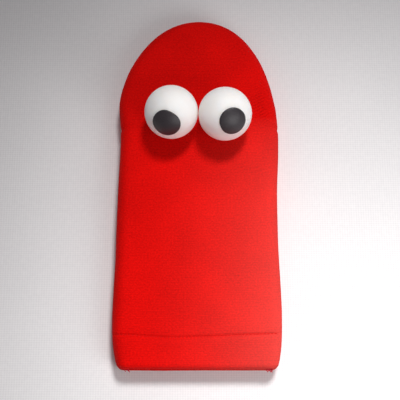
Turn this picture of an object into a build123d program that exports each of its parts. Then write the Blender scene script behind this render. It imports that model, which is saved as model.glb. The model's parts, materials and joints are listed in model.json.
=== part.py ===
"""Sock puppet sewn from foam-backed knit, with a folding mouth and two hollow ball eyes.

It lies on its underside with the mouth shut. Millimetres, +Z up. The origin is on the table under the
middle of the puppet, +Y runs from the open cuff to the snout, and X runs across. The sleeve is one top
and one bottom panel of laminate, each divided here where the wrist and the mouth fold, so that its
lengths can turn. The creases between them are nodes of their own, because there the cloth changes shape.
"""

import os
from math import radians, tan

from build123d import *

# Whole puppet
LENGTH = 276.0
MIDDLE_Z = 12.0  # height of the side seams, the mouth slit and both fold axes
CLOTH = 3.5  # knit face and foam backing together
SNOUT_Y = LENGTH / 2
CUFF_Y = -LENGTH / 2

# Plan outline: half widths and where they occur
CUFF_HALF = 58.4
CUFF_TAPER = -0.22  # slope of the side at the cuff's end, across per length
CUFF_CORNER = 6.0
HEM_HALF = 62.4
HEM_HALF_Y = -104.0
NECK_HALF = 60.4
NECK_HALF_Y = -5.0
CHEEK_HALF = 61.5
CHEEK_Y = 60.0
CHEEK_REACH = 19.0  # how far the side runs on before the dome turns in
SNOUT_REACH = 46.0  # how far the snout runs across before the dome turns down

# Side profile: top heights along the puppet, and the lift of the snout off the table
CUFF_TOP = 22.0
SLEEVE_TOP = 25.6
SLEEVE_TOP_Y = -30.0
FOLD_TOP = 24.4
HEAD_TOP = 24.6
HEAD_TOP_Y = 88.0
SNOUT_TOP = 20.0
SNOUT_LIFT = 2.6
LIFT_START_Y = 92.0
EDGE_ROUND = 9.0

# Folds: angles are from upright, in degrees, and positive towards the snout
WRIST_Y = -48.0
WRIST_BENDS = 40.0
MOUTH_Y = 45.0
UPPER_OPENS = 18.0
LOWER_OPENS = 45.0
FOLD_SPARE = 3.0  # angle left between two lengths of cloth at full travel
HEAD_EDGE = -10.0  # the top of the head reaches back past the mouth's axis, to carry the eyes
CREASE_GAP = 1.0  # angle left each side of a crease
WRIST_RELIEF = 0.7  # radius cleared round the wrist's axis
FOLD_ROLL = 1.2  # radius of the lining where it turns at the back of the mouth
FOLD_CLEAR = 0.4
MOUTH_CORNER = 61.0  # the turned lining reaches this far across

# Hem and side seams
HEM_DEPTH = 28.5
HEM_LINE_Y = CUFF_Y + 24.5
HEM_STITCH = 2.0
HEM_PITCH = 2.6
HEM_STITCHES = 45
THREAD = 0.7  # thread thickness
ALLOWANCE = 6.0  # both panels' edges stand inwards by this much
ALLOWANCE_HALF = 2.5  # thickness of one pressed edge
ALLOWANCE_END = 4.0  # distance kept from a fold's axis
OVERLOCK_BITE = 4.5
OVERLOCK_PITCH = 3.0

# Mouth
SLIT = 0.3  # each jaw's lining stands this far from the middle plane
LINING = 1.0
LINING_INSET = 1.0
LINING_BACK_Y = MOUTH_Y + FOLD_ROLL + FOLD_CLEAR
BOARD = 1.5
BOARD_INSET = 5.0
BOARD_BACK_Y = 50.0
LIP_PITCH = 3.2
LIP_STITCH = 1.1
LIP_INSET = 4.3

# Eyes
BALL = 20.0
BALL_WALL = 0.5
GLUE = 5.0
GLUE_DEPTH = 1.0  # glue under the lowest point of a ball
EYE_X = 20.1
EYE_Z = FOLD_TOP + GLUE_DEPTH + BALL
PUPIL = 10.3
PUPIL_GAP = 0.02
PUPIL_THICKNESS = 0.3
EYES = {
    "left": (Vector(-EYE_X, 49.8, EYE_Z), Vector(-0.24, -1.05, 1.0)),
    "right": (Vector(EYE_X, 48.4, EYE_Z), Vector(0.36, -0.77, 1.0)),
}

# Working sizes, all past the puppet's own
REACH = 40.0
ACROSS = 90.0
OVERRUN = 12.0  # how far the forms run past the cuff and the snout


def plan(inset):
    """The outline from above, moved inwards by inset, carried on past the cuff's end."""
    tip_y = SNOUT_Y - inset
    cheek = CHEEK_HALF - inset
    end = CUFF_HALF - inset
    reach_across = SNOUT_REACH * (1 - inset / CHEEK_HALF)
    reach_along = CHEEK_REACH * (1 - inset / (SNOUT_Y - CHEEK_Y))
    with BuildSketch() as outline:
        with BuildLine():
            dome = Bezier((0, tip_y), (reach_across, tip_y), (cheek, CHEEK_Y + reach_along), (cheek, CHEEK_Y))
            flank = Spline(
                dome @ 1,
                (NECK_HALF - inset, NECK_HALF_Y),
                (HEM_HALF - inset, HEM_HALF_Y),
                (end, CUFF_Y),
                tangents=[(0, -1), (CUFF_TAPER, -1)],
            )
            tail = Line(flank @ 1, (end + CUFF_TAPER * OVERRUN, CUFF_Y - OVERRUN))
            Line(tail @ 1, (0, CUFF_Y - OVERRUN))
            mirror(about=Plane.YZ)
        make_face()
    return outline.sketch


def profile(inset):
    """The outline from the side, moved inwards by inset, carried on past both ends."""
    with BuildSketch(Plane.YZ) as outline:
        with BuildLine():
            top = Spline(
                (CUFF_Y - OVERRUN, CUFF_TOP - inset),
                (CUFF_Y, CUFF_TOP - inset),
                (SLEEVE_TOP_Y, SLEEVE_TOP - inset),
                (MOUTH_Y, FOLD_TOP - inset),
                (HEAD_TOP_Y, HEAD_TOP - inset),
                (SNOUT_Y + OVERRUN, SNOUT_TOP - inset),
            )
            lift = Spline(
                (SNOUT_Y + OVERRUN, SNOUT_LIFT + inset),
                (LIFT_START_Y, inset),
                tangents=[(-1, -0.1), (-1, 0)],
            )
            Line(top @ 1, lift @ 0)
            Line(lift @ 1, (CUFF_Y - OVERRUN, inset))
            Line((CUFF_Y - OVERRUN, inset), top @ 0)
        make_face()
    return outline.sketch


def on_rim(point, above):
    """Whether an edge's middle is on the upper or lower rim, and not on the centre line or an end."""
    at_end = point.Y < CUFF_Y - OVERRUN / 2
    upright = abs(point.Z - MIDDLE_Z) < 4.0
    return abs(point.X) > 1.0 and not at_end and not upright and (point.Z > MIDDLE_Z) == above


def puppet_form(inset):
    """The whole puppet as one rounded solid, moved inwards by inset, carried on past the cuff's end."""
    with BuildPart() as form:
        add(plan(inset))
        extrude(amount=REACH)
        extrude(profile(inset), amount=ACROSS, both=True, mode=Mode.INTERSECT)
        for above in (True, False):
            fillet(form.edges().filter_by(lambda e: on_rim(e @ 0.5, above)), EDGE_ROUND - inset)
    return form.part


def ring(outer_inset, inner_inset, low_z, high_z):
    """An upright wall that follows the outline between two insets and two heights."""
    with BuildPart() as wall:
        with BuildSketch(Plane.XY.offset(low_z)):
            add(plan(outer_inset))
            add(plan(inner_inset), mode=Mode.SUBTRACT)
        extrude(amount=high_z - low_z)
    return wall.part


def slab(inset, low_z, high_z, back_y):
    """A flat plate of the mouth's shape, from back_y to the snout."""
    with BuildPart() as plate:
        with BuildSketch(Plane.XY.offset(low_z)):
            add(plan(inset))
            with Locations((0, back_y)):
                Rectangle(2 * ACROSS, LENGTH, align=(Align.CENTER, Align.MIN), mode=Mode.INTERSECT)
        extrude(amount=high_z - low_z)
    return plate.part


def ray(axis_y, degrees, side):
    """A far point up (side 1) or down (side -1) from an axis, tilted by degrees towards the snout."""
    return (axis_y + REACH * tan(radians(degrees)), MIDDLE_Z + side * REACH)


def zone(*corners):
    """A prism right across the puppet, whose corners are (y, z)."""
    with BuildPart() as prism:
        with BuildSketch(Plane.YZ):
            with BuildLine():
                Polyline(*corners, close=True)
            make_face()
        extrude(amount=ACROSS, both=True)
    return prism.part


def round_axis(axis_y, radius):
    """A cylinder round a fold's axis, right across the puppet."""
    with BuildPart(Plane(origin=(0, axis_y, MIDDLE_Z), z_dir=(1, 0, 0))) as cylinder:
        Cylinder(radius, 2 * ACROSS)
    return cylinder.part


def save(name, built):
    """Label a finished piece and write it."""
    built.part.label = name
    export_step(built.part, f"parts/{name}.step")


os.makedirs("parts", exist_ok=True)

outer_form = puppet_form(0)
cloth_form = puppet_form(CLOTH)
hem_form = puppet_form(2 * CLOTH)
wrist_relief = round_axis(WRIST_Y, WRIST_RELIEF)
mouth_relief = round_axis(MOUTH_Y, FOLD_ROLL + FOLD_CLEAR)
hem_end_y = CUFF_Y + HEM_DEPTH
far_y = SNOUT_Y + OVERRUN
allowance_edge = CLOTH + ALLOWANCE

# Where the hand's and the jaws' lengths of cloth end at the folds, above (1) and below (-1)
wrist_edge = (WRIST_BENDS + FOLD_SPARE) / 2
lower_edge = (LOWER_OPENS + FOLD_SPARE) / 2
hand_edge = {1: HEAD_EDGE - UPPER_OPENS - FOLD_SPARE, -1: -lower_edge}
jaw_edge = {1: HEAD_EDGE, -1: lower_edge}

# Laminate of the whole sleeve: one thickness, two where the hem is turned in, and the sewn edges inside
with BuildPart() as laminate:
    add(outer_form)
    add(cloth_form, mode=Mode.SUBTRACT)

with BuildPart() as turned_hem:
    add(cloth_form)
    add(hem_form, mode=Mode.SUBTRACT)
    add(zone((CUFF_Y, 0), (hem_end_y, 0), (hem_end_y, REACH), (CUFF_Y, REACH)), mode=Mode.INTERSECT)

# Where thread lies: in the outer face, and in the inner face of the hem
with BuildPart() as stitch_layers:
    add(outer_form)
    add(puppet_form(THREAD), mode=Mode.SUBTRACT)
    add(puppet_form(2 * CLOTH - THREAD))
    add(hem_form, mode=Mode.SUBTRACT)

# Both panels' edges, sewn together and turned inside
sewn_edges = ring(CLOTH, allowance_edge, MIDDLE_Z - ALLOWANCE_HALF, MIDDLE_Z + ALLOWANCE_HALF)

# Cuff end with its corners rounded from above
with BuildPart() as cuff_ground:
    with BuildSketch() as cuff_plan:
        add(plan(0))
        with Locations((0, CUFF_Y)):
            Rectangle(2 * ACROSS, LENGTH / 2, align=(Align.CENTER, Align.MIN), mode=Mode.INTERSECT)
        fillet(cuff_plan.vertices().group_by(Axis.Y)[0], CUFF_CORNER)
    extrude(amount=REACH)

for name, side in (("top", 1), ("bottom", -1)):
    far_z = MIDDLE_Z + side * REACH

    # Cuff panel, with its turned hem
    with BuildPart() as cuff_panel:
        add(sewn_edges)
        edge_y = WRIST_Y - ALLOWANCE_END
        add(zone((CUFF_Y, MIDDLE_Z), (edge_y, MIDDLE_Z), (edge_y, far_z), (CUFF_Y, far_z)),
            mode=Mode.INTERSECT)
        add(laminate.part)
        add(turned_hem.part)
        add(zone((CUFF_Y, MIDDLE_Z), (WRIST_Y, MIDDLE_Z), ray(WRIST_Y, -wrist_edge, side), (CUFF_Y, far_z)),
            mode=Mode.INTERSECT)
        add(cuff_ground.part, mode=Mode.INTERSECT)
        add(wrist_relief, mode=Mode.SUBTRACT)
    save(f"cuff_{name}_panel", cuff_panel)

    # Hand panel, from the wrist to the back of the mouth
    with BuildPart() as hand_panel:
        add(sewn_edges)
        start_y = WRIST_Y + ALLOWANCE_END
        stop_y = MOUTH_Y - ALLOWANCE_END
        add(zone((start_y, MIDDLE_Z), (stop_y, MIDDLE_Z), (stop_y, far_z), (start_y, far_z)),
            mode=Mode.INTERSECT)
        add(laminate.part)
        add(zone((WRIST_Y, MIDDLE_Z), (MOUTH_Y, MIDDLE_Z), ray(MOUTH_Y, hand_edge[side], side),
                 ray(WRIST_Y, wrist_edge, side)),
            mode=Mode.INTERSECT)
        add(wrist_relief, mode=Mode.SUBTRACT)
        add(mouth_relief, mode=Mode.SUBTRACT)
    save(f"hand_{name}_panel", hand_panel)

    # Crease at the wrist
    with BuildPart() as wrist_crease:
        add(laminate.part)
        add(zone((WRIST_Y, MIDDLE_Z), ray(WRIST_Y, CREASE_GAP - wrist_edge, side),
                 ray(WRIST_Y, wrist_edge - CREASE_GAP, side)),
            mode=Mode.INTERSECT)
        add(wrist_relief, mode=Mode.SUBTRACT)
    save(f"wrist_crease_{name}", wrist_crease)

    # Hem stitching: a row on the outside and the row it makes on the inside
    with BuildPart() as hem_stitches:
        with BuildSketch():
            with Locations((0, HEM_LINE_Y)):
                with GridLocations(HEM_PITCH, 0, HEM_STITCHES, 1):
                    Rectangle(HEM_STITCH, THREAD)
        extrude(amount=REACH)
        add(zone((CUFF_Y, MIDDLE_Z), (WRIST_Y, MIDDLE_Z), (WRIST_Y, far_z), (CUFF_Y, far_z)),
            mode=Mode.INTERSECT)
        add(stitch_layers.part, mode=Mode.INTERSECT)
    save(f"{name}_hem_stitches", hem_stitches)

# Creases at the mouth
for name, side in (("upper", 1), ("lower", -1)):
    with BuildPart() as mouth_crease:
        add(laminate.part)
        add(zone((MOUTH_Y, MIDDLE_Z), ray(MOUTH_Y, hand_edge[side] + CREASE_GAP, side),
                 ray(MOUTH_Y, jaw_edge[side] - CREASE_GAP, side)),
            mode=Mode.INTERSECT)
        add(mouth_relief, mode=Mode.SUBTRACT)
    save(f"{name}_mouth_crease", mouth_crease)

# Overlock thread round the free edge of each side seam
for name, side in (("left", -1), ("right", 1)):
    for length, start_y, stop_y in (
        ("cuff", hem_end_y, WRIST_Y - ALLOWANCE_END),
        ("hand", WRIST_Y + ALLOWANCE_END, MOUTH_Y - ALLOWANCE_END),
    ):
        loops = int((stop_y - start_y) / OVERLOCK_PITCH)
        with BuildPart() as overlock:
            with BuildSketch():
                with Locations((side * ACROSS / 2, (start_y + stop_y) / 2)):
                    with GridLocations(0, OVERLOCK_PITCH, 1, loops):
                        Rectangle(ACROSS, THREAD)
            extrude(amount=REACH)
            add(ring(allowance_edge - OVERLOCK_BITE, allowance_edge + THREAD,
                     MIDDLE_Z - ALLOWANCE_HALF - THREAD, MIDDLE_Z + ALLOWANCE_HALF + THREAD),
                mode=Mode.INTERSECT)
            add(sewn_edges, mode=Mode.SUBTRACT)
        save(f"{length}_{name}_overlock", overlock)

# Lining where it turns at the back of the mouth
with BuildPart(Plane(origin=(0, MOUTH_Y, MIDDLE_Z), z_dir=(1, 0, 0))) as mouth_fold:
    Cylinder(FOLD_ROLL, 2 * MOUTH_CORNER)
save("mouth_fold", mouth_fold)

# Jaws: laminate outside, lining and stiffening board inside, and the stitches that close the lip
for jaw, panel_name, side in (("upper", "head_top_panel", 1), ("lower", "jaw_bottom_panel", -1)):
    far_z = MIDDLE_Z + side * REACH
    slit_z = MIDDLE_Z + side * SLIT
    lining_z = slit_z + side * LINING
    board_z = lining_z + side * BOARD

    with BuildPart() as lining:
        add(slab(LINING_INSET, min(slit_z, lining_z), max(slit_z, lining_z), LINING_BACK_Y))
    save(f"{jaw}_mouth_lining", lining)

    with BuildPart() as board:
        add(slab(BOARD_INSET, min(lining_z, board_z), max(lining_z, board_z), BOARD_BACK_Y))
    save(f"{jaw}_mouth_board", board)

    with BuildPart() as jaw_panel:
        add(laminate.part)
        add(zone((MOUTH_Y, MIDDLE_Z), (far_y, MIDDLE_Z), (far_y, far_z), ray(MOUTH_Y, jaw_edge[side], side)),
            mode=Mode.INTERSECT)
        add(zone((CUFF_Y, slit_z), (far_y, slit_z), (far_y, far_z), (CUFF_Y, far_z)), mode=Mode.INTERSECT)
        add(lining.part, mode=Mode.SUBTRACT)
        add(mouth_relief, mode=Mode.SUBTRACT)
    save(panel_name, jaw_panel)

    lip = plan(LIP_INSET).wire()
    stitch_count = int(lip.length / LIP_PITCH)
    places = [lip.location_at(number / stitch_count) for number in range(stitch_count)]
    with BuildPart(Plane.XY.offset(lining_z + side * LIP_STITCH / 2)) as lip_stitches:
        with Locations(*[place for place in places if place.position.Y > BOARD_BACK_Y]):
            Box(LIP_STITCH, LIP_STITCH, LIP_STITCH)
    save(f"{jaw}_lip_stitches", lip_stitches)

# Eyes: a hollow ball, the dab of glue that holds it to the head, and a pupil stuck on its front
for name, (centre, gaze) in EYES.items():
    with BuildPart(Plane(centre)) as ball:
        Sphere(BALL)
        Sphere(BALL - BALL_WALL, mode=Mode.SUBTRACT)
    save(f"{name}_eye_ball", ball)

    with BuildPart() as glue:
        with Locations(centre):
            Cylinder(GLUE, EYE_Z - MIDDLE_Z, align=(Align.CENTER, Align.CENTER, Align.MAX))
            Sphere(BALL, mode=Mode.SUBTRACT)
        add(outer_form, mode=Mode.SUBTRACT)
    save(f"{name}_eye_glue", glue)

    with BuildPart(Plane(origin=centre, z_dir=gaze)) as pupil:
        Cylinder(PUPIL, 2 * BALL, align=(Align.CENTER, Align.CENTER, Align.MIN))
        Sphere(BALL + PUPIL_GAP + PUPIL_THICKNESS, mode=Mode.INTERSECT)
        Sphere(BALL + PUPIL_GAP, mode=Mode.SUBTRACT)
    save(f"{name}_pupil", pupil)
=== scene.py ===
"""Looks of the sock puppet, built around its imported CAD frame. Metres, in the frame's own axes."""

import json
import math

import bmesh
import bpy
import numpy as np
from mathutils import Matrix, Vector, noise


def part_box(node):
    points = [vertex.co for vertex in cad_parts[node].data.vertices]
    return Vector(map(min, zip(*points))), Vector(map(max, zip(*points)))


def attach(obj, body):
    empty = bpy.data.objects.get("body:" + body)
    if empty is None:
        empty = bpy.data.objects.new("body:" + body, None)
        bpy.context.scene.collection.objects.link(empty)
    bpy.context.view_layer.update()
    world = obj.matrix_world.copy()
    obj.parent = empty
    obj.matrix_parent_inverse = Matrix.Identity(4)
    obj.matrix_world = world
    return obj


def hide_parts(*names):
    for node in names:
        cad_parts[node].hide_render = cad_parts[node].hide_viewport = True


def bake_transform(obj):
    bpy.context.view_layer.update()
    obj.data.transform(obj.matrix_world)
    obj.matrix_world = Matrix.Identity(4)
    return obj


noise.seed_set(5)  # unseeded, Blender's vector noise differs from run to run
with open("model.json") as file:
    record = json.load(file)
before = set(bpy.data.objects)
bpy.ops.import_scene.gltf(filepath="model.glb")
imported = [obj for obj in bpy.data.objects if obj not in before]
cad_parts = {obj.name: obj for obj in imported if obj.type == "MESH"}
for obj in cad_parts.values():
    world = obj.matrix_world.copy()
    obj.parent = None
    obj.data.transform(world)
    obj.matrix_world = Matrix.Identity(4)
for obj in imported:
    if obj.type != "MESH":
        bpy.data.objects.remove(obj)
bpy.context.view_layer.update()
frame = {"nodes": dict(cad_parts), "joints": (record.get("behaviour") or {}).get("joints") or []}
MM = 0.001

# Places read from the frame
joints = {joint["name"]: joint for joint in frame["joints"]}
wrist = Vector(joints["wrist_bend"]["pos_m"])
mouth = Vector(joints["upper_jaw_opens"]["pos_m"])
MID_Z = wrist.z
CUFF_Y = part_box("cuff_top_panel")[0].y
SNOUT_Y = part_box("head_top_panel")[1].y
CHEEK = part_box("head_top_panel")[1].x
HEM_LINE_Y = sum(corner.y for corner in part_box("top_hem_stitches")) / 2
BALLS = {name: sum(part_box(f"{name}_eye_ball"), Vector()) / 2 for name in ("left", "right")}
BALL = (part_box("left_eye_ball")[1].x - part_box("left_eye_ball")[0].x) / 2

# Cloth
CLOTH = 3.5 * MM
EDGE = 9.0 * MM  # radius of the rounded edges
EDGE_SHARE = 0.78  # the most of a face's height that the rounding takes
HEM_END_Y = HEM_LINE_Y + 4 * MM
FOLD_Y = CUFF_Y + CLOTH  # the hem turns in round this line
CHEEK_Y = 60 * MM  # the arc round the snout starts here
CHEEK_PULL = 19 * MM  # how far the arc follows the cheek's direction, then the snout's
SNOUT_PULL = 46 * MM
NOTCH_DEPTH = 0.6 * MM  # where the mouth's corner pulls the outline in
NOTCH_REACH = 1.8 * MM
SPLIT_Y = 0.0  # the sleeve's and the head's pieces meet here, on the hand
STATION = 2 * MM  # between two cross-sections
LEAST_GAP = 0.3 * MM
INTERIOR = 30  # steps from the middle to the rounded edge
RIM = 8  # steps round the edge
SNOUT_STEPS = 57  # steps round the snout's arc
FOLD_STEPS = 10  # steps round the hem's fold
INSIDE = 0.3  # share of a face's relief that shows on its inside
SAME_POINT = 0.002 * MM
KNIT, BACKING = 0, 1  # a cloth piece's two materials
LINING = (0.3, 1.3)  # the mouth lining's two faces, from the middle plane, in millimetres
LINING_INSET = 1.7 * MM
LINING_STEPS = 24

# Half width, sideways lean, and heights of the top and bottom faces, along the puppet, in millimetres
SIDE = [(-138, 57.2), (-133.5, 59.3), (-128, 60.6), (-122, 61.6), (-112, 62.5), (-100, 62.8), (-80, 62.2)]
SIDE += [(-55, 61.4), (-30, 61.0), (0, 61.0), (30, 61.3), (60, 61.5)]
LEAN = [(-138, -0.5), (-100, -0.8), (-60, -0.6), (-30, -0.9), (0, -0.3), (25, 0.7), (46, 0.9), (58, -0.1)]
LEAN += [(68, -1.1), (85, -1.2), (105, -0.5), (138, 0)]
TOP = [(-138, 22), (-110, 23.2), (-70, 25), (-30, 25.6), (10, 25.1), (45, 24.4), (88, 24.6), (120, 23)]
TOP += [(138, 21.2)]
BOTTOM = [(-138, 0), (60, 0), (92, 0), (115, 1.0), (138, 2.2)]
# How far the hem's row of stitches wanders along the puppet, by the place across it
HEM_WANDER = [(-60, 0.6), (-48, 0.3), (-35, -0.5), (-17.5, -1.3), (1, -0.8), (30, 0.5), (60, 1.5)]

# Bumps in the cloth, as (height, middle, reach) in millimetres: across the hem's stitches, along the
# mouth's corners, and out from under a ball
HEM_BUMPS = [(-1.15, 0, 0.75), (0.30, 4.5, 2.6), (0.45, -4.0, 3.0)]
CORNER_BUMPS = [(0.6, 6, 4), (-1.1, 0.6, 1.9)]
BALL_BUMPS = [(-0.45, 0, 8)]
# Broad unevenness: middle x and y, reach x and y, and height, in millimetres
SWELLS = [(38, -30, 22, 40, 0.5), (-32, -75, 20, 26, -0.45), (10, 20, 26, 14, -0.35), (-38, 5, 14, 30, 0.4)]
# Ripples pulled in the cloth: middle x and y, reach x and y, slant, wavelength and strength, in millimetres
RIPPLES = [
    (49, 62, 8, 17, 0.55, 2.5, 1.0),
    (45, 12, 14, 6, 0.35, 3.4, 0.5),
    (-12, 96, 34, 12, 0.0, 1.7, 0.35),
]


# ------------------------------------------------------------------ the cloth's shape

def smooth(low, high, value):
    """0 at low and 1 at high, easing out of one and into the other."""
    t = np.clip((value - low) / (high - low), 0, 1)
    return t * t * (3 - 2 * t)


def bumps(profile, place):
    """The height of a row of smooth bumps at a place, all in millimetres."""
    return sum(height * np.exp(-(((place - middle) / reach) ** 2)) for height, middle, reach in profile)


def through(points, y):
    """A smooth curve through (y, value) points given in millimetres, read at y in metres."""
    known, values = np.array(points, float).T * MM
    slopes = np.gradient(values, known)
    place = np.clip(np.searchsorted(known, y) - 1, 0, len(known) - 2)
    span = known[place + 1] - known[place]
    t = np.clip((y - known[place]) / span, 0, 1)
    low = (1 + 2 * t) * (1 - t) ** 2 * values[place] + t * (1 - t) ** 2 * span * slopes[place]
    return low + t * t * (3 - 2 * t) * values[place + 1] + t * t * (t - 1) * span * slopes[place + 1]


def half_width(y):
    """Half width with a small notch where the mouth's corner pulls in."""
    return through(SIDE, y) - NOTCH_DEPTH * math.exp(-(((y - mouth.y) / NOTCH_REACH) ** 2))


def face_height(side, y):
    return through(TOP if side > 0 else BOTTOM, y)


def edge_radius(side, y):
    return min(EDGE, EDGE_SHARE * abs(face_height(side, y) - MID_Z))


def rail_places(start_y, stop_y):
    """Stations along the puppet, close together at the hem's groove, the hem's raw edge and the mouth."""
    places = list(np.linspace(start_y, stop_y, round((stop_y - start_y) / STATION) + 1))
    places += list(HEM_LINE_Y + np.arange(-4, 4.1, 0.5) * MM)
    places += [HEM_END_Y - 0.4 * MM, HEM_END_Y]
    places += list(mouth.y + np.arange(-6, 6.1, 0.9) * MM)
    chosen = [start_y]
    for y in sorted(places):
        if y - chosen[-1] > LEAST_GAP and stop_y - y > LEAST_GAP:
            chosen.append(y)
    return chosen + [stop_y]


def rails(start_y, stop_y):
    """Stations round the right half's outline: point, inward normal, and the middle point that it faces."""
    found = []
    for y in rail_places(start_y, min(stop_y, CHEEK_Y)):
        found.append((np.array([half_width(y), y]), np.array([-1.0, 0.0]), np.array([0.0, y])))
    if stop_y > CHEEK_Y:
        pulls = [(CHEEK, CHEEK_Y), (CHEEK, CHEEK_Y + CHEEK_PULL), (SNOUT_PULL, SNOUT_Y), (0, SNOUT_Y)]
        corners = np.array(pulls)
        for t in np.linspace(0, 1, SNOUT_STEPS + 1)[1:]:
            weights = np.array([(1 - t) ** 3, 3 * t * (1 - t) ** 2, 3 * t * t * (1 - t), t**3])
            ahead = np.array([(1 - t) ** 2, 2 * t * (1 - t), t * t]) @ np.diff(corners, axis=0)
            normal = np.array([-ahead[1], ahead[0]]) / np.linalg.norm(ahead)
            found.append((weights @ corners, normal, np.array([0.0, CHEEK_Y])))
    return found


# Turned edges, as (inset, height from the seam) in millimetres: the sewn side seam, and the mouth's lip.
# None is the depth of the cloth's inside, and the seam's raw edge, past ALLOWANCE, lies at least that deep.
ALLOWANCE = 9
SEAM = [(0, 1.2), (0.12, 0.8), (0.45, 0.35), (1.0, 0.06), (2.2, 0.04), (5.4, 0.04), (9.3, 0.1), (9.5, 1.2)]
SEAM += [(9.3, 2.4), (None, 2.5)]
LIP = [(0, 1.5), (0.08, 1.05), (0.35, 0.68), (0.9, 0.45), (1.4, 0.62), (1.6, 1.25), (2.4, 1.35)]
LIP += [(3.0, 1.35), (3.3, 1.4), (None, 1.5)]


def section(point, normal, middle, side, depth):
    """One station's points: from the middle out, round the edge and back along the inside.

    Each has its place, its place in the flat cloth, and how much of the relief it takes.
    """
    radius = edge_radius(side, point[1])
    turn = point + normal * radius
    angles = np.linspace(0, math.pi / 2, RIM + 1)[1:]
    shares = np.linspace(0, 1, INTERIOR + 1)
    jaw = float(smooth(mouth.y - 4 * MM, mouth.y + 2 * MM, point[1]))
    deep = depth / MM
    made = []

    def add(place, drop, reach, weight):
        z = face_height(side, place[1]) - side * drop
        made.append((place[0], place[1], z, *(place if reach is None else turn - normal * reach), weight))

    for share in shares:
        add(middle + share * (turn - middle), 0.0, None, 1.0)
    for angle in angles:
        place = turn - normal * radius * math.sin(angle)
        add(place, radius * (1 - math.cos(angle)), radius * angle, math.cos(angle))
    reach = radius * math.pi / 2
    for (inset, height), (lip_inset, lip_height) in zip(SEAM, LIP):
        if inset is None:
            inset, lip_inset = deep, deep
        elif inset > ALLOWANCE:
            inset = max(inset, deep)
        place = point + normal * (inset + (lip_inset - inset) * jaw) * MM
        z = MID_Z + side * (height + (lip_height - height) * jaw) * MM
        reach += 1.0 * MM
        made.append((*place, z, *(turn - normal * reach), 0.0))
    inner = radius - depth
    for angle in angles[::-1]:
        place = turn - normal * inner * math.sin(angle)
        add(place, depth + inner * (1 - math.cos(angle)), radius * angle, INSIDE * math.cos(angle))
    for share in shares[::-1]:
        add(middle + share * (turn - middle), depth, None, INSIDE)
    return made


def relief(x, y, side):
    """Height added to a face: the hem's groove, creases at the mouth's corners, and a slow unevenness."""
    high = bumps(HEM_BUMPS, (y - HEM_LINE_Y - through(HEM_WANDER, x)) / MM)
    high += smooth(42 * MM, 57 * MM, np.abs(x)) * bumps(CORNER_BUMPS, (y - mouth.y) / MM)
    if side < 0:
        return np.minimum(high, 0) * MM
    for x_middle, y_middle, reach_x, reach_y, height in SWELLS:
        high += bumps([(height, x_middle, reach_x)], x / MM) * bumps([(1, y_middle, reach_y)], y / MM)
    for centre in BALLS.values():
        high += bumps(BALL_BUMPS, np.hypot(x - centre.x, y - centre.y) / MM)
    return high * MM


def ripples(points, side):
    """For each point of a face, the ripples' phase and strength."""
    x, y = points[:, 0] / MM, points[:, 1] / MM
    phase, strength = np.zeros(len(points)), np.zeros(len(points))
    for x_middle, y_middle, reach_x, reach_y, slant, wavelength, high in RIPPLES:
        here = bumps([(high, x_middle, reach_x)], x) * bumps([(1, y_middle, reach_y)], y)
        phase = np.where(here > strength, (y - slant * x) / wavelength, phase)
        strength = np.maximum(strength, here)
    return np.column_stack([phase, strength * (side > 0), np.zeros(len(points))])


def drift(points):
    """Lean, rounded cuff corners and a slow unevenness. What lies on the floor stays flat."""
    moved = np.array(points, float)
    corner = smooth(52 * MM, 59 * MM, np.abs(moved[:, 0])) ** 2
    moved[:, 1] += 0.6 * MM * corner * (1 - smooth(CUFF_Y - 1 * MM, CUFF_Y + 9 * MM, moved[:, 1]))
    moved[:, 0] += through(LEAN, moved[:, 1])
    for row, point in enumerate(moved):
        shift = noise.noise_vector(Vector(point) / (40 * MM) + Vector((3.1, 7.7, 1.3)))
        lift = smooth(0.5 * MM, 7 * MM, point[2])
        moved[row] += np.array([shift.x * 0.4, shift.y * 0.3, shift.z * lift]) * MM
    moved[:, 2] = np.maximum(moved[:, 2], 0.0)
    return moved


def on_face(side, x, y, drop, share=1.0):
    """The point of a face over x, y, sunk into the cloth by drop, with a share of the face's relief."""
    radius = edge_radius(side, y)
    across = min(max(abs(x) - half_width(y) + radius, 0) / radius, 1)
    rise = math.sqrt(1 - across * across)
    z = face_height(side, y) - side * (radius * (1 - rise) + drop)
    return np.array([x, y, z + side * share * rise * relief(x, y, side)])


def make_mesh(name, points, faces, materials, face_material=None, sharp=60):
    mesh = bpy.data.meshes.new(name)
    mesh.from_pydata([tuple(p) for p in points], [], faces)
    for material in materials:
        mesh.materials.append(material)
    if face_material is not None:
        mesh.polygons.foreach_set("material_index", np.array(face_material, np.int32))
    tidy = bmesh.new()
    tidy.from_mesh(mesh)
    bmesh.ops.recalc_face_normals(tidy, faces=tidy.faces)
    tidy.to_mesh(mesh)
    tidy.free()
    mesh.polygons.foreach_set("use_smooth", np.ones(len(mesh.polygons), bool))
    mesh.set_sharp_from_angle(angle=math.radians(sharp))
    piece = bpy.data.objects.new(name, mesh)
    bpy.context.scene.collection.objects.link(piece)
    return piece


def store(piece, name, values):
    """Keep a vector for each point of a piece, for its material to read."""
    attribute = piece.data.attributes.new(name, "FLOAT_VECTOR", "POINT")
    attribute.data.foreach_set("vector", np.array(values, np.float32).ravel())


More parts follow.
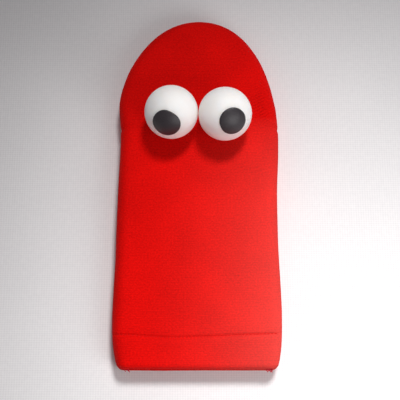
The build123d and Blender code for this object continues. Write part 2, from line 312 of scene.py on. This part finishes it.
def panel(name, side, start_y, stop_y, materials):
    """One length of the top (side 1) or bottom (side -1) cloth, closed, with its thickness and edges."""
    has_cuff = start_y < HEM_END_Y
    rows, hems = [], []
    for point, normal, middle in rails(start_y, stop_y):
        hem = has_cuff and point[1] < HEM_END_Y - 0.1 * MM
        hems.append(hem)
        rows.append(section(point, normal, middle, side, 2 * CLOTH if hem else CLOTH))
    data = np.array(rows)
    count, across = data.shape[:2]
    shell = INTERIOR + 1 + RIM  # columns of the outer face
    points = list(data[:, :, :3].reshape(-1, 3))
    flats = list(data[:, :, 3:5].reshape(-1, 2))
    weights = list(data[:, :, 5].ravel())
    faces, kinds = [], []
    for row in range(count - 1):
        for column in range(across - 1):
            low, high = row * across + column, (row + 1) * across + column
            faces.append((low, high, high + 1, low + 1))
            inside = column >= shell + len(SEAM) - 2
            kinds.append(BACKING if inside and not hems[row] else KNIT)

    # Close the end where the sleeve's cloth meets the head's: the faces' strip, then the turned edge's end
    split = (count - 1) * across if has_cuff else 0
    for column in range(shell - 1):
        near, far = split + column, split + across - 1 - column
        faces.append((near, near + 1, far - 1, far))
    faces.append(tuple(range(split + shell - 1, split + across - shell + 1)))
    kinds += [BACKING] * shell
    if has_cuff:
        hem_faces = turn_hem(data[0], shell, points, flats, weights)
        faces += hem_faces
        kinds += [KNIT] * len(hem_faces)
    return mirrored(name, side, np.array(points), np.array(flats), np.array(weights), faces, kinds, materials)


def turn_hem(cuff, shell, points, flats, weights):
    """Add the points of the fold from the cuff's outer face round to its inside, and give its faces."""
    across = len(cuff)
    fold = [list(range(shell))]
    for step in range(1, FOLD_STEPS):
        angle = math.pi * step / FOLD_STEPS
        line = []
        for column in range(shell):
            outer, inner = cuff[column, :3], cuff[across - 1 - column, :3]
            centre, arm = (outer + inner) / 2, (outer - inner) / 2
            reach = np.linalg.norm(arm)
            line.append(len(points))
            points.append(centre + arm * math.cos(angle) + np.array([0, -reach, 0]) * math.sin(angle))
            flats.append(cuff[column, 3:5] - np.array([0, reach * angle]))
            weights.append(0.0)
        fold.append(line)
    fold.append([across - 1 - column for column in range(shell)])
    faces = []
    for low, high in zip(fold, fold[1:]):
        for column in range(shell - 1):
            faces.append((low[column], low[column + 1], high[column + 1], high[column]))
    rim = list(range(shell - 1, across - shell + 1)) + [line[-1] for line in fold[-2:0:-1]]
    points.append(np.mean([points[i] for i in rim], axis=0))
    flats.append(np.mean([flats[i] for i in rim], axis=0))
    weights.append(0.0)
    for first, second in zip(rim, rim[1:] + rim[:1]):
        faces.append((first, second, len(points) - 1))
    return faces


def mirrored(name, side, points, flats, weights, faces, kinds, materials):
    """Join the right half to its mirror image, then add what isn't the same on both sides."""
    total = len(points)
    points = np.concatenate([points, points * (-1, 1, 1)])
    flats = np.concatenate([flats, flats * (-1, 1)])
    weights = np.concatenate([weights, weights])
    faces = faces + [tuple(i + total for i in face)[::-1] for face in faces]
    keys = np.round(points / SAME_POINT).astype(np.int64)
    _, first, member = np.unique(keys, axis=0, return_index=True, return_inverse=True)
    member = member.ravel()
    points, flats, weights = points[first], flats[first], weights[first]
    joined, kept, seen = [], [], set()
    for face, kind in zip(faces, kinds + kinds):
        loop = [member[i] for i in face]
        loop = [i for i, before in zip(loop, loop[-1:] + loop[:-1]) if i != before]
        if len(set(loop)) > 2 and frozenset(loop) not in seen:
            seen.add(frozenset(loop))
            joined.append(loop)
            kept.append(kind)
    points[:, 2] += side * weights * relief(points[:, 0], points[:, 1], side)
    piece = make_mesh(name, drift(points), joined, materials, kept)
    store(piece, "knit", np.column_stack([flats, np.zeros(len(flats))]))
    store(piece, "ripple", ripples(points, side))
    return piece


# ------------------------------------------------------------------ materials

class Nodes:
    """A material's node tree, with short ways to add and join nodes."""

    def __init__(self, name):
        self.material = bpy.data.materials.new(name)
        self.material.use_nodes = True
        self.tree = self.material.node_tree
        self.shader = self.tree.nodes["Principled BSDF"]

    def add(self, kind, **settings):
        node = self.tree.nodes.new(kind)
        for key, value in settings.items():
            if key in node.inputs:
                node.inputs[key].default_value = value
            else:
                setattr(node, key, value)
        return node

    def link(self, output, socket):
        self.tree.links.new(output, socket)

    def feed(self, name, output):
        """Link an output to the shader's socket of this name."""
        self.link(output, self.shader.inputs[name])

    def set(self, **values):
        for key, value in values.items():
            self.shader.inputs[key.replace("_", " ")].default_value = value

    def attribute(self, name):
        return self.add("ShaderNodeAttribute", attribute_name=name).outputs["Vector"]

    def object_place(self):
        return self.add("ShaderNodeTexCoord").outputs["Object"]

    def split(self, vector):
        node = self.add("ShaderNodeSeparateXYZ")
        self.link(vector, node.inputs[0])
        return node.outputs["X"], node.outputs["Y"], node.outputs["Z"]

    def math(self, operation, first, second=None, third=None, clamped=False):
        node = self.add("ShaderNodeMath", operation=operation, use_clamp=clamped)
        for index, value in enumerate((first, second, third)):
            if value is None:
                continue
            if isinstance(value, (int, float)):
                node.inputs[index].default_value = value
            else:
                self.link(value, node.inputs[index])
        return node.outputs[0]

    def wave(self, turns):
        """A sine wave with one period for each whole turn."""
        return self.math("SINE", self.math("MULTIPLY", turns, 2 * math.pi))

    def mixed(self, first, share, second, other):
        """Two values added, each multiplied by its share."""
        return self.math("ADD", self.math("MULTIPLY", first, share), self.math("MULTIPLY", second, other))

    def noise(self, vector, scale, detail=3.0):
        node = self.add("ShaderNodeTexNoise", Scale=scale, Detail=detail)
        self.link(vector, node.inputs["Vector"])
        return node.outputs["Fac"]

    def ramp(self, value, low, dark, high, light):
        """A colour that goes from dark to light as the value goes from low to high."""
        node = self.add("ShaderNodeValToRGB")
        for element, place, colour in zip(node.color_ramp.elements, (low, high), (dark, light)):
            element.position = place
            element.color = (*colour, 1)
        self.link(value, node.inputs[0])
        return node.outputs["Color"]

    def bump(self, height, distance, strength=1.0, below=None):
        node = self.add("ShaderNodeBump", Distance=distance, Strength=strength)
        self.link(height, node.inputs["Height"])
        if below is not None:
            self.link(below, node.inputs["Normal"])
        return node.outputs["Normal"]


def knit_material(name, dark, light, wale=1.0, course=1.25, depth=0.2, paints_highlight=False):
    """Fine jersey: columns of slanted loops, with a soft nap, pulled ripples and slow changes of colour. The
    loops and ripples also put painted shade into the colour, and where asked a painted highlight pales the
    cuff's right.
    """
    m = Nodes(name)
    place = m.attribute("knit")
    x, y, _ = m.split(place)
    wander = m.noise(place, 60.0)
    across = m.math("ADD", m.math("DIVIDE", x, wale * MM), m.math("MULTIPLY", wander, 0.9))
    along = m.math("ADD", m.math("DIVIDE", y, course * MM), m.math("MULTIPLY", wander, 1.3))
    side = m.math("MULTIPLY", m.math("PINGPONG", across, 0.5), 2.0)
    slant = m.math("ADD", along, m.math("MULTIPLY", side, 0.35))
    loops = m.math("MULTIPLY_ADD", m.wave(slant), 0.5, 0.5)
    column = m.math("SUBTRACT", 1.0, m.math("POWER", side, 2.2))
    column = m.math("MULTIPLY_ADD", column, 0.45, 0.55)
    height = m.math("MULTIPLY", column, m.math("MULTIPLY_ADD", loops, 0.6, 0.4))
    nap = m.noise(place, 1900.0, 2.0)
    specks = m.noise(place, 750.0, 3.0)
    patches = m.noise(place, 26.0, 4.0)
    pull, strength, _ = m.split(m.attribute("ripple"))
    wave = m.math("MULTIPLY", m.wave(m.math("MULTIPLY_ADD", wander, 0.8, pull)), strength)
    # Painted shade: the loops' height darkens the colour in the valleys between columns and loops; specks and
    # patches are the yarn's own random tone
    tone = m.math("ADD", m.mixed(height, 0.26, specks, 0.62), m.math("MULTIPLY", patches, 0.40))
    # Painted shade: the ripples lighten the colour on their crests and darken it in their troughs
    tone = m.math("MULTIPLY_ADD", wave, 0.07, tone)
    colour = m.ramp(tone, 0.42, dark, 0.86, light)
    # Painted highlight: where asked, paler and more coral towards the cuff's right
    m.feed("Base Color", add_painted_highlight(m, colour, x, y) if paints_highlight else colour)
    m.feed("Roughness", m.math("MULTIPLY_ADD", nap, 0.16, 0.76))
    slow = m.bump(patches, 0.6 * MM)
    pulled = m.bump(wave, 0.22 * MM, 1.0, slow)
    fine = m.bump(m.math("ADD", nap, specks), 0.22 * MM, 0.6, pulled)
    m.feed("Normal", m.bump(height, depth * MM, 0.9, fine))
    m.set(Specular_IOR_Level=0.07, Sheen_Weight=0.015, Sheen_Roughness=0.45, Sheen_Tint=(1, 0.6, 0.55, 1))
    return m.material


def add_painted_highlight(m, colour, x, y):
    """Painted highlight: the colour turns paler and more coral towards the right of the cuff, as in the
    photo, where the light falls stronger.
    """
    right = m.math("MULTIPLY_ADD", x, 8.0, 0.5, clamped=True)
    down = m.math("MULTIPLY_ADD", y, -5.3, 0.28, clamped=True)
    mix = m.add("ShaderNodeMixRGB", blend_type="ADD", Color2=(0.02, 0.056, 0.047, 1))
    m.link(m.math("MULTIPLY", m.math("POWER", right, 2.6), m.math("POWER", down, 0.5)), mix.inputs["Fac"])
    m.link(colour, mix.inputs["Color1"])
    return mix.outputs["Color"]


def foam_material(name, dark, light):
    """The laminate's foam back: small open cells under a thin tricot."""
    m = Nodes(name)
    place = m.attribute("knit")
    voronoi = m.add("ShaderNodeTexVoronoi", Scale=1500.0)
    m.link(place, voronoi.inputs["Vector"])
    cells = voronoi.outputs["Distance"]
    tone = m.mixed(cells, 0.6, m.noise(place, 40.0), 0.5)
    m.feed("Base Color", m.ramp(tone, 0.1, dark, 0.9, light))
    m.feed("Normal", m.bump(cells, 0.25 * MM))
    m.set(Roughness=0.92, Specular_IOR_Level=0.1)
    return m.material


def thread_material(name, dark, light):
    """Twisted thread, its strands slanting round it."""
    m = Nodes(name)
    around, along, _ = m.split(m.attribute("twist"))
    turns = m.math("ADD", m.math("DIVIDE", along, 0.8 * MM), m.math("MULTIPLY", around, 2.0))
    strand = m.math("MULTIPLY_ADD", m.wave(turns), 0.5, 0.5)
    m.feed("Base Color", m.ramp(strand, 0.0, dark, 1.0, light))
    m.feed("Normal", m.bump(strand, 0.06 * MM))
    m.set(Roughness=0.62, Specular_IOR_Level=0.12)
    return m.material


def ball_material(name):
    """Matt celluloid: warm white, faintly clouded, with fine grain and the weld between its two halves."""
    m = Nodes(name)
    place = m.attribute("local")
    _, _, height = m.split(place)
    grain = m.noise(place, 90.0, 2.0)
    m.feed("Base Color", m.ramp(m.noise(place, 2.2), 0.3, (0.95, 0.92, 0.885), 0.7, (0.99, 0.975, 0.945)))
    m.feed("Roughness", m.math("MULTIPLY_ADD", grain, 0.16, 0.5))
    off = m.math("DIVIDE", height, 0.014)
    weld = m.math("EXPONENT", m.math("MULTIPLY", m.math("MULTIPLY", off, off), -1.0))
    m.feed("Normal", m.bump(weld, 0.08 * MM, 1.0, m.bump(grain, 0.03 * MM)))
    m.set(Subsurface_Weight=0.7, Subsurface_Scale=0.02, Subsurface_Radius=(1, 0.9, 0.82))
    m.set(Specular_IOR_Level=0.35)
    return m.material


def pupil_material(name):
    """Black craft foam, cut by hand: fine cells and a soft grey bloom."""
    m = Nodes(name)
    place = m.attribute("local")
    cells = m.noise(place, 120.0, 3.0)
    clouds = m.noise(place, 6.0)
    tone = m.mixed(cells, 0.5, clouds, 0.5)
    m.feed("Base Color", m.ramp(tone, 0.3, (0.014, 0.010, 0.014), 0.7, (0.034, 0.027, 0.033)))
    m.feed("Roughness", m.math("MULTIPLY_ADD", clouds, 0.16, 0.34))
    m.feed("Normal", m.bump(cells, 0.05 * MM))
    m.set(Specular_IOR_Level=0.6, Sheen_Weight=0.05, Sheen_Roughness=0.5)
    return m.material


def glue_material(name):
    """Set hot-melt glue, cloudy and uneven."""
    m = Nodes(name)
    clouds = m.noise(m.object_place(), 500.0)
    m.feed("Base Color", m.ramp(clouds, 0.3, (0.62, 0.50, 0.42), 0.7, (0.82, 0.76, 0.68)))
    m.feed("Normal", m.bump(clouds, 0.15 * MM))
    m.set(Roughness=0.22, Subsurface_Weight=0.4, Subsurface_Scale=0.003)
    return m.material


def card_material(name):
    """Grey-brown card with flecks and fibre."""
    m = Nodes(name)
    place = m.object_place()
    fibre = m.noise(place, 900.0, 5.0)
    tone = m.mixed(fibre, 0.6, m.noise(place, 70.0), 0.4)
    m.feed("Base Color", m.ramp(tone, 0.3, (0.40, 0.31, 0.21), 0.7, (0.60, 0.49, 0.36)))
    m.feed("Normal", m.bump(fibre, 0.1 * MM))
    m.set(Roughness=0.85)
    return m.material


def floor_material(name):
    """White cotton, plainly woven."""
    m = Nodes(name)
    place = m.object_place()
    x, y, _ = m.split(place)
    warp = m.math("PINGPONG", m.math("DIVIDE", x, 1.9 * MM), 0.5)
    weft = m.math("PINGPONG", m.math("DIVIDE", y, 1.7 * MM), 0.5)
    weave = m.math("MULTIPLY_ADD", m.noise(place, 300.0), 0.8, m.math("ADD", warp, weft))
    tone = m.math("MULTIPLY_ADD", m.noise(place, 9.0), 0.35, m.math("MULTIPLY", weave, 0.5))
    m.feed("Base Color", m.ramp(tone, 0.2, (0.72, 0.71, 0.73), 0.9, (0.86, 0.85, 0.86)))
    m.feed("Normal", m.bump(weave, 0.12 * MM, 0.5))
    m.set(Roughness=0.92, Specular_IOR_Level=0.1)
    return m.material


# The outer knit carries the painted highlight towards the cuff's right
knit = knit_material("knit", (0.50, 0.0005, 0.0003), (0.86, 0.0025, 0.0012), paints_highlight=True)
backing = foam_material("backing", (0.30, 0.02, 0.018), (0.55, 0.07, 0.06))
lining_cloth = knit_material("lining", (0.16, 0.001, 0.001), (0.36, 0.004, 0.003), 0.9, 0.9, 0.15)
thread = thread_material("thread", (0.42, 0.002, 0.002), (0.75, 0.006, 0.004))
crimson = thread_material("crimson_thread", (0.45, 0.004, 0.018), (0.85, 0.012, 0.05))
celluloid = ball_material("celluloid")
black_foam = pupil_material("black_foam")
glue = glue_material("glue")
card = card_material("card")


# ------------------------------------------------------------------ cloth pieces

sleeve_top = panel("sleeve_top_cloth", 1, FOLD_Y + 1.0 * MM, SPLIT_Y, [knit, backing])
sleeve_bottom = panel("sleeve_bottom_cloth", -1, FOLD_Y + 0.2 * MM, SPLIT_Y, [knit, backing])
head_top = panel("head_top_cloth", 1, SPLIT_Y, SNOUT_Y, [knit, backing])
jaw_bottom = panel("jaw_bottom_cloth", -1, SPLIT_Y, SNOUT_Y, [knit, backing])
for piece, replaced in (
    (sleeve_top, ("cuff_top_panel", "wrist_crease_top", "hand_top_panel")),
    (sleeve_bottom, ("cuff_bottom_panel", "wrist_crease_bottom", "hand_bottom_panel")),
    (head_top, ("upper_mouth_crease", "head_top_panel")),
    (jaw_bottom, ("lower_mouth_crease", "jaw_bottom_panel")),
):
    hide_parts(*replaced)

for piece in (sleeve_top, sleeve_bottom):
    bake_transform(piece)
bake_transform(head_top)
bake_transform(jaw_bottom)


# ------------------------------------------------------------------ mouth lining

def lining(jaw, side):
    """Half of the mouth's lining, with its thickness, from the snout to the fold at the mouth's back."""
    inner, outer = LINING
    shares = np.linspace(0, 1, LINING_STEPS + 1)
    around = [(share, outer) for share in shares] + [(share, inner) for share in shares[::-1]]
    rows = []
    for angle in np.linspace(math.pi, math.pi / 2, 6):
        line = []
        for share, reach in around:
            x = share * (half_width(mouth.y) - LINING_INSET)
            y = mouth.y + reach * MM * math.cos(angle)
            line.append((x, y, MID_Z + side * reach * MM * math.sin(angle), x, y))
        rows.append(line)
    for point, normal, middle in rails(SPLIT_Y, SNOUT_Y):
        if point[1] <= mouth.y + LEAST_GAP:
            continue
        edge = point + normal * LINING_INSET
        middle = np.array([0.0, min(middle[1], edge[1])])
        line = []
        for share, reach in around:
            x, y = middle + share * (edge - middle)
            line.append((x, y, MID_Z + side * reach * MM, x, y))
        rows.append(line)
    data = np.array(rows)
    count, across = data.shape[:2]
    faces = []
    for row in range(count - 1):
        for column in range(across - 1):
            low, high = row * across + column, (row + 1) * across + column
            faces.append((low, high, high + 1, low + 1))
    for column in range(LINING_STEPS):
        far = across - 1 - column
        faces.append((column, column + 1, far - 1, far))
    flat = data.reshape(-1, 5)
    piece = mirrored(f"{jaw}_lining_cloth", -side, flat[:, :3], flat[:, 3:], np.zeros(len(flat)), faces,
                     [KNIT] * len(faces), [lining_cloth])
    edge = data[:, LINING_STEPS, :2]
    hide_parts(f"{jaw}_mouth_lining", "mouth_fold")
    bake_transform(piece)


lining("upper", 1)
lining("lower", -1)


# ------------------------------------------------------------------ thread

def threads(name, paths, radius, material, sides=6):
    """Lengths of thread along paths, with their ends drawn in."""
    points, faces, twists = [], [], []
    for path in paths:
        path = drift(path)
        ahead = np.gradient(path, axis=0)
        ahead /= np.linalg.norm(ahead, axis=1)[:, None]
        gone = distances(path)
        start, last = len(points), len(path) - 1
        for row, (place, way) in enumerate(zip(path, ahead)):
            across = np.cross(way, (0.31, 0.22, 0.92))
            across /= np.linalg.norm(across)
            up = np.cross(across, way)
            thick = radius * (0.5 if row in (0, last) else 1.0)
            for turn in range(sides):
                angle = 2 * math.pi * turn / sides
                points.append(place + thick * (math.cos(angle) * across + math.sin(angle) * up))
                twists.append((turn / sides, gone[row], 0))
        for row in range(last):
            for turn in range(sides):
                low, after = start + row * sides + turn, start + row * sides + (turn + 1) % sides
                faces.append((low, after, after + sides, low + sides))
        faces.append(tuple(start + turn for turn in range(sides))[::-1])
        faces.append(tuple(start + last * sides + turn for turn in range(sides)))
    piece = make_mesh(name, points, faces, [material])
    store(piece, "twist", twists)
    return piece


def distances(path):
    """The length gone along a path at each of its points."""
    return np.concatenate([[0], np.cumsum(np.linalg.norm(np.diff(path, axis=0), axis=1))])


HEM_PITCH = 2.6  # from stitch to stitch, in millimetres
HEM_HALF = 1.12  # half of a stitch's length
HEM_STITCHES = 22  # on each side of the middle one


def hem_paths(side):
    """The hem's lockstitches: a row in the outer groove and one on the turned-in hem."""
    paths = []
    for number in range(-HEM_STITCHES, HEM_STITCHES + 1):
        for drop, reach, share in ((-0.10 * MM, 60, 1.0), (2 * CLOTH + 0.10 * MM, 46, INSIDE)):
            if abs(HEM_PITCH * number) >= reach:
                continue
            path = []
            for step in np.linspace(-1, 1, 7):
                x = (HEM_PITCH * number + HEM_HALF * step) * MM
                y = HEM_LINE_Y + through(HEM_WANDER, x)
                dip = 0.45 * step**4 * MM
                path.append(on_face(side, x, y, drop + (dip if drop < 0 else -dip), share))
            paths.append(path)
    return paths


for side, name in ((1, "top"), (-1, "bottom")):
    stitches = threads(f"{name}_hem_thread", hem_paths(side), 0.3 * MM, thread)
    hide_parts(f"{name}_hem_stitches")
    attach(stitches, "cuff")


# One loop of the overlock round the sewn edges: inset, height from the middle, and place along the seam
LOOP = [(4.5, 2.3, 0), (4.7, 2.78, 0.15), (7.0, 2.74, 0.7), (9.2, 2.7, 1.1)]
LOOP += [(9.75, 2.1, 1.3), (9.85, 0, 1.5), (9.75, -2.1, 1.7)]
LOOP += [(9.2, -2.7, 1.9), (7.0, -2.74, 2.3), (4.7, -2.78, 2.85), (4.5, -2.3, 3.0)]
# The needle thread's stitch on one face of it
NEEDLE = [(4.6, 2.4, 0.1), (4.6, 2.85, 0.5), (4.6, 2.9, 1.5), (4.6, 2.85, 2.5), (4.6, 2.4, 2.9)]
SEAM_PITCH = 3 * MM  # from one loop of the overlock to the next
SEAM_GAP = 4 * MM  # it stops this far from a joint's crease


def seam_paths(side):
    """Overlock along the cuff's and the hand's lengths of one side seam."""
    lengths = ((HEM_END_Y, wrist.y - SEAM_GAP), (wrist.y + SEAM_GAP, mouth.y - SEAM_GAP))
    paths = []
    for start_y, stop_y in lengths:
        for y in np.arange(start_y, stop_y - SEAM_PITCH, SEAM_PITCH):
            for stitch, flip in ((LOOP, 1), (NEEDLE, 1), (NEEDLE, -1)):
                path = []
                for inset, height, ahead in stitch:
                    place = y + ahead * MM
                    x = side * (half_width(place) - inset * MM)
                    path.append((x, place, MID_Z + flip * height * MM))
                paths.append(path)
    return paths


TAIL_STEP = 0.62  # millimetres
TAIL_STEPS = 7


def tail_paths(side, number, seed):
    """Frayed ends of the overlock's chain, poking out where the side seam meets the cuff."""
    rng = np.random.default_rng(seed)
    paths = []
    for start in np.linspace(50.0, 54.5, number):
        place = np.array([start * side, CUFF_Y / MM + 1.8, 12 + rng.uniform(-1.0, 6.0)])
        way = np.array([rng.uniform(-0.5, 0.5), -1.0, rng.uniform(-0.1, 0.4)])
        path = []
        for _ in range(TAIL_STEPS):
            path.append(place * MM)
            way += rng.uniform(-0.55, 0.55, 3) * (1, 0.5, 0.6)
            place = place + TAIL_STEP * way / np.linalg.norm(way)
        paths.append(path)
    return paths


for side, name, number in ((-1, "left", 3), (1, "right", 9)):
    seam = threads(f"{name}_overlock_thread", seam_paths(side), 0.24 * MM, crimson)
    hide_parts(f"cuff_{name}_overlock", f"hand_{name}_overlock")
    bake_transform(seam)
    tail = threads(f"{name}_thread_tail", tail_paths(side, number, 5), 0.28 * MM, crimson)
    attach(tail, "cuff")


LIP_INSET = 4.3 * MM
LIP_FROM_Y = 51 * MM  # the stitches start here, in front of the mouth's corner
LIP_PITCH = 3.2 * MM


def lip_paths(side):
    """Slip stitches that close each jaw's lip, inside, along the lining's edge."""
    stations = rails(SPLIT_Y, SNOUT_Y)
    right = [point + normal * LIP_INSET for point, normal, _ in stations if point[1] > LIP_FROM_Y]
    outline = np.array(right + [place * (-1, 1) for place in right[-2::-1]])
    gone = distances(outline)
    paths = []
    for start in np.arange(1 * MM, gone[-1] - 3 * MM, LIP_PITCH):
        path = []
        for step in np.linspace(-1, 1, 6):
            where = start + (1.2 + 1.05 * step) * MM
            x, y = (np.interp(where, gone, outline[:, axis]) for axis in (0, 1))
            path.append((x, y, MID_Z + side * (LINING[1] + 0.35 - 0.4 * step**4) * MM))
        paths.append(path)
    return paths


for jaw, side in (("upper", 1), ("lower", -1)):
    stitches = threads(f"{jaw}_lip_thread", lip_paths(side), 0.28 * MM, thread)
    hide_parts(f"{jaw}_lip_stitches")
    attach(stitches, f"{jaw}_jaw")


# ------------------------------------------------------------------ eyes

def ball(name, centre, weld):
    """A hollow ball; weld turns the line between its two halves."""
    form = bmesh.new()
    bmesh.ops.create_icosphere(form, subdivisions=5, radius=1.0)
    mesh = bpy.data.meshes.new(name)
    form.to_mesh(mesh)
    form.free()
    directions = np.array([vertex.co for vertex in mesh.vertices])
    turn = np.array(Matrix.Rotation(weld, 3, Vector((0.8, 0.5, 0.3))))
    mesh.vertices.foreach_set("co", (directions * BALL + np.array(centre)).ravel())
    mesh.polygons.foreach_set("use_smooth", np.ones(len(mesh.polygons), bool))
    mesh.materials.append(celluloid)
    piece = bpy.data.objects.new(name, mesh)
    bpy.context.scene.collection.objects.link(piece)
    store(piece, "local", directions @ turn.T)
    return piece


# Rings of a pupil from its middle out and over its edge: share of its radius, and of its thickness
PUPIL_RINGS = [(share, 1.0) for share in np.linspace(0, 0.93, 9)]
PUPIL_RINGS += [(0.975, 0.93), (0.995, 0.7), (1.0, 0.35), (1.0, -0.1)]
PUPIL = 0.55 * MM  # thickness


def pupil(name, centre, gaze, radius, cuts, steps=72):
    """A disc of foam cut by hand and stuck on a ball. A cut flattens it at an angle, by a depth and reach."""
    look = Vector(gaze).normalized()
    right = Vector((look.z, 0, -look.x)).normalized()
    up = look.cross(right)
    points, places = [], []
    for share, high in PUPIL_RINGS:
        for step in range(steps):
            angle = 360 * step / steps
            rim = radius
            for middle, depth, reach in cuts:
                rim -= depth * math.exp(-((((angle - middle + 180) % 360 - 180) / reach) ** 2))
            turn = math.radians(angle)
            across = share * rim * MM / BALL
            out = math.sqrt(1 - across * across)
            way = look * out + (right * math.cos(turn) + up * math.sin(turn)) * across
            points.append(Vector(centre) + way * (BALL + high * PUPIL))
            places.append((share * math.cos(turn), share * math.sin(turn), 0))
    faces = ring_faces(1, len(PUPIL_RINGS), steps)
    piece = make_mesh(name, points, faces, [black_foam], sharp=80)
    store(piece, "local", places)
    return piece


def ring_faces(first, stop, steps):
    """Faces that join rings of points, from the first ring to the one before stop, with both ends closed."""
    faces = []
    for ring in range(first, stop - 1):
        for step in range(steps):
            low, after = ring * steps + step, ring * steps + (step + 1) % steps
            faces.append((low, after, after + steps, low + steps))
    faces.append(tuple(range(first * steps, (first + 1) * steps))[::-1])
    faces.append(tuple(range((stop - 1) * steps, stop * steps)))
    return faces


# Rings of glue from the cloth up: reach, height over the cloth (None is on the ball), and unevenness
GLUE_RINGS = [(1.0, -1.0, 0.5), (6.6, -0.6, 1.0), (6.3, 0.05, 1.0), (5.4, 0.35, 0.8), (4.9, 0.75, 0.5)]
GLUE_RINGS += [(5.0, None, 0.3), (1.0, None, 0.1)]


def glue_blob(name, centre, seed, steps=40):
    """Set glue between a ball and the cloth, drawn in at its waist."""
    foot = face_height(1, centre.y)
    lobes = np.random.default_rng(seed).uniform(-0.35, 0.35, 4)
    points = []
    for reach, height, free in GLUE_RINGS:
        for step in range(steps):
            turn = 2 * math.pi * step / steps
            uneven = sum(lobe * math.cos((order + 2) * turn + order) for order, lobe in enumerate(lobes))
            wide = (reach + free * uneven) * MM
            if height is None:
                z = centre.z - math.sqrt(BALL**2 - wide**2) + 0.05 * MM
            else:
                z = foot + height * MM
            points.append((centre.x + wide * math.cos(turn), centre.y + wide * math.sin(turn), z))
    return make_mesh(name, points, ring_faces(0, len(GLUE_RINGS), steps), [glue], sharp=75)


# Where each eye looks, its pupil's radius in millimetres, and how that was cut
GAZES = {
    "left": ((-0.24, -1.05, 1.0), 10.3, [(48, 0.8, 34), (215, 0.3, 24), (130, 0.2, 22)]),
    "right": ((0.36, -0.77, 1.0), 10.0, [(215, 0.35, 24), (335, 0.2, 20), (60, 0.15, 18)]),
}
for (name, (gaze, radius, cuts)), weld in zip(GAZES.items(), (0.9, 2.3)):
    centre = BALLS[name]
    for piece, replaced, slot in (
        (ball(f"{name}_ball", centre, weld), "eye_ball", "ball"),
        (pupil(f"{name}_pupil_disc", centre, gaze, radius, cuts), "pupil", "pupil"),
        (glue_blob(f"{name}_glue", centre, int(10 * weld)), "eye_glue", "glue"),
    ):
        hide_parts(f"{name}_{replaced}")
        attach(piece, "upper_jaw")

for name in ("upper_mouth_board", "lower_mouth_board"):
    board = frame["nodes"][name]
    board.data.materials.clear()
    board.data.materials.append(card)


# ------------------------------------------------------------------ floor, lights and camera

def floor():
    bpy.ops.mesh.primitive_plane_add(size=6)
    ground = bpy.context.object
    ground.name = "floor"
    ground.data.materials.append(floor_material("floor"))


def aimed(name, light, direction, distance, aim):
    """Hang a light in a direction from the point that it's aimed at."""
    lamp = bpy.data.objects.new(name, light)
    away = Vector(direction).normalized()
    lamp.location = Vector(aim) + away * distance
    lamp.rotation_euler = away.to_track_quat("Z", "Y").to_euler()
    bpy.context.scene.collection.objects.link(lamp)


def area_light(name, direction, distance, size, watts, colour):
    light = bpy.data.lights.new(name, "AREA")
    light.size = size
    light.energy = watts
    light.color = colour
    aimed(name, light, direction, distance, (0, 0, 0))


def soft_spot(name, direction, distance, size, cone, aim, watts, colour):
    """A wide soft lamp whose light dies away from the point that it's aimed at."""
    light = bpy.data.lights.new(name, "SPOT")
    light.shadow_soft_size = size / 2
    light.spot_size = math.radians(cone)
    light.spot_blend = 1.0
    light.energy = watts
    light.color = colour
    aimed(name, light, direction, distance, aim)


def camera(tilt, aim, distance, lens):
    """A camera tilted down by degrees at the point it's aimed at, from the cuff's side."""
    tilt = math.radians(tilt)
    eye = bpy.data.objects.new("camera", bpy.data.cameras.new("camera"))
    eye.data.lens = lens
    eye.data.sensor_width = 36
    eye.location = Vector(aim) * MM + distance * Vector((0, -math.cos(tilt), math.sin(tilt)))
    eye.rotation_euler = (math.radians(90) - tilt, 0, 0)
    bpy.context.scene.collection.objects.link(eye)
    bpy.context.scene.camera = eye


def surroundings(colour, strength):
    world = bpy.data.worlds.new("studio")
    world.use_nodes = True
    background = world.node_tree.nodes["Background"]
    background.inputs["Color"].default_value = (*colour, 1)
    background.inputs["Strength"].default_value = strength
    bpy.context.scene.world = world


# Directions, distances, sizes and watts that light the cloth, the balls and the floor as in the photo
floor()
soft_spot("key", (0.22, 0.97, 1.75), 1.5, 0.36, 26.5, (0.07, -0.15, 0), 86, (1.0, 0.985, 0.97))
area_light("fill", (0.62, -0.55, 0.62), 0.62, 0.35, 1.15, (1.0, 0.99, 0.985))
area_light("low_fill", (0.25, -0.6, 0.7), 0.6, 0.35, 0.36, (1.0, 0.99, 0.98))
surroundings((1.0, 0.97, 0.985), 0.19)
camera(tilt=76, aim=(1.35, -9.6, 12.0), distance=0.604, lens=70.6)
bpy.context.scene.view_settings.view_transform = "Standard"
